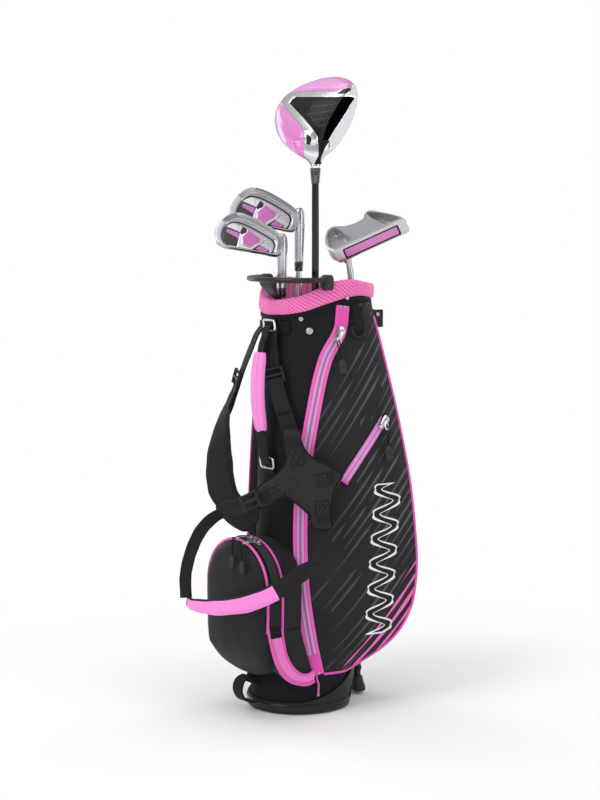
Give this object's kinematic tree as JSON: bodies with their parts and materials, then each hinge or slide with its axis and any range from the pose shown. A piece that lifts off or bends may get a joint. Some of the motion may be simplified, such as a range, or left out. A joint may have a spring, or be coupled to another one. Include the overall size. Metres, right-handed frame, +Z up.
{
  "type": "golf club set",
  "caption": "Junior golf set in a double-strap stand bag with folding legs: a wood, cavity-back irons and a mallet putter.",
  "frame": {"origin": "on the ground under the middle of the bag's boot", "axes": "+Z up the bag, -Y towards the spine side with the carry handle and straps, +Y towards the folding legs, +X towards the large side pocket"},
  "size_m": [0.2097, 0.2909, 0.8462],
  "materials": {
    "black_plastic": "moulded, fine texture",
    "black_fabric": "coated woven polyester",
    "webbing": "ribbed webbing",
    "pink_mesh": "padded spacer mesh",
    "pink_pad": "padded fabric",
    "pink_zip": "zip tape and teeth",
    "black_zip": "zip tape and teeth",
    "bright_metal": "polished plating",
    "iron_chrome": "satin and polished plating",
    "pink_badge": "metallic pink badge",
    "driver_pink": "pearl paint over shell",
    "shaft_black": "gloss black coat",
    "shaft_steel": "stepped steel",
    "putter_silver": "bead blasted",
    "putter_pink": "soft insert",
    "grip_rubber": "grip texture",
    "foot_rubber": "moulded rubber",
    "gloss_black": "gloss",
    "leg_alu": "black anodised",
    "puller": "moulded pull"
  },
  "bodies": {
    "bag": {"base_cup": "black_plastic", "bag_shell": "black_fabric", "collar_frame": "black_plastic", "collar_pad": "pink_mesh", "carry_ring": "black_plastic", "apparel_pocket": "black_fabric", "side_pocket": "black_fabric", "ball_pocket": "black_fabric", "long_zip": "pink_zip", "diagonal_zip": "pink_zip", "ball_zip": "black_zip", "handle_pad": "pink_pad", "handle_web_top": "webbing", "handle_web_low": "webbing", "handle_ring_top": "bright_metal", "handle_ring_low": "bright_metal", "bottom_handle": "webbing", "strap_anchor": "webbing", "web_front": "webbing", "web_rear": "webbing", "web_low": "webbing", "strap_hub": "black_fabric", "shoulder_pad_upper": "black_fabric", "shoulder_pad_lower": "black_fabric", "buckle_front": "black_plastic", "buckle_rear": "black_plastic", "buckle_low": "black_plastic", "towel_loop": "webbing", "leg_bracket": "black_plastic"},
    "flap": {"base_flap": "black_plastic"},
    "leg_left": {"leg_left": "leg_alu", "leg_foot_left": "foot_rubber"},
    "leg_right": {"leg_right": "leg_alu", "leg_foot_right": "foot_rubber"},
    "wire": {"leg_wire": "bright_metal"},
    "driver": {"driver_head": "driver_pink", "driver_ferrule": "gloss_black", "driver_shaft": "shaft_black", "driver_grip": "grip_rubber"},
    "iron7": {"iron7_head": "iron_chrome", "iron7_badge": "pink_badge", "iron7_ferrule": "gloss_black", "iron7_shaft": "shaft_steel", "iron7_grip": "grip_rubber"},
    "iron9": {"iron9_head": "iron_chrome", "iron9_badge": "pink_badge", "iron9_ferrule": "gloss_black", "iron9_shaft": "shaft_steel", "iron9_grip": "grip_rubber"},
    "putter": {"putter_head": "putter_silver", "putter_insert": "putter_pink", "putter_shaft": "shaft_steel", "putter_grip": "grip_rubber"},
    "long_slider": {"long_slider": "bright_metal"},
    "long_puller": {"long_puller": "puller"},
    "diagonal_slider": {"diagonal_slider": "bright_metal"},
    "diagonal_puller": {"diagonal_puller": "puller"},
    "ball_pull_a": {"ball_pull_a": "puller"},
    "ball_pull_b": {"ball_pull_b": "puller"},
    "towel_ring": {"towel_ring": "black_plastic"}
  },
  "joints": [
    {"name": "flap_hinge", "type": "hinge", "parent": "bag", "child": "flap", "pos_m": [0, 0.0366, 0.0029], "axis": [1, 0, 0], "range_deg": [0, 10]},
    {"name": "leg_right_hinge", "type": "hinge", "parent": "bag", "child": "leg_right", "pos_m": [0.02, 0.113, 0.522], "axis": [0.9134, -0.4072, 0], "range_deg": [0, 32], "stiffness_Nm_per_rad": 0.35, "springref_deg": -17.19},
    {"name": "leg_left_hinge", "type": "hinge", "parent": "bag", "child": "leg_left", "pos_m": [-0.02, 0.113, 0.522], "axis": [0.9134, 0.4072, 0], "range_deg": [0, 32], "stiffness_Nm_per_rad": 0.35, "springref_deg": -17.19},
    {"name": "wire_slide", "type": "slide", "parent": "bag", "child": "wire", "axis": [0, 0.0499, 0.9988], "range_m": [0, 0.0072]},
    {"name": "driver_lift", "type": "slide", "parent": "bag", "child": "driver", "axis": [0.0511, -0.0444, 0.9977], "range_m": [0, 0.27]},
    {"name": "iron7_lift", "type": "slide", "parent": "bag", "child": "iron7", "axis": [0.0248, -0.0062, 0.9997], "range_m": [0, 0.06]},
    {"name": "iron9_lift", "type": "slide", "parent": "bag", "child": "iron9", "axis": [0.0033, 0.0003, 1], "range_m": [0, 0.1]},
    {"name": "putter_lift", "type": "slide", "parent": "bag", "child": "putter", "axis": [0.0248, 0.0227, 0.9994], "range_m": [0, 0.1]},
    {"name": "long_zip_slide", "type": "slide", "parent": "bag", "child": "long_slider", "axis": [0.0913, 0.3864, 0.9178], "range_m": [-0.03, 0]},
    {"name": "long_puller_hinge", "type": "hinge", "parent": "long_slider", "child": "long_puller", "pos_m": [0.07569, 0.00255, 0.50002], "axis": [-0.2332, -0.9628, -0.1363], "range_deg": [0, 60]},
    {"name": "diagonal_zip_slide", "type": "slide", "parent": "bag", "child": "diagonal_slider", "axis": [-0.0228, 0.6495, 0.76], "range_m": [-0.015, 0]},
    {"name": "diagonal_puller_hinge", "type": "hinge", "parent": "diagonal_slider", "child": "diagonal_puller", "pos_m": [0.10967, 0.0587, 0.38303], "axis": [-0.0918, -0.9937, -0.0642], "range_deg": [0, 60]},
    {"name": "ball_pull_a_turn", "type": "hinge", "parent": "bag", "child": "ball_pull_a", "pos_m": [0, -0.095, 0.174], "axis": [0, 1, 0], "range_deg": [-35, 0]},
    {"name": "ball_pull_b_turn", "type": "hinge", "parent": "bag", "child": "ball_pull_b", "pos_m": [0, -0.095, 0.174], "axis": [0, 1, 0], "range_deg": [0, 50]},
    {"name": "towel_ring_hinge", "type": "hinge", "parent": "bag", "child": "towel_ring", "pos_m": [0.0805, 0.03316, 0.51721], "axis": [-0.3155, -0.9489, 0], "range_deg": [0, 70]}
  ],
  "couplings": [
    {"joint": "leg_left_hinge", "follows": "leg_right_hinge", "ratio": 1},
    {"joint": "flap_hinge", "follows": "leg_right_hinge", "ratio": 0.3125},
    {"joint": "wire_slide", "follows": "leg_right_hinge", "m_per_rad": 0.0128}
  ]
}
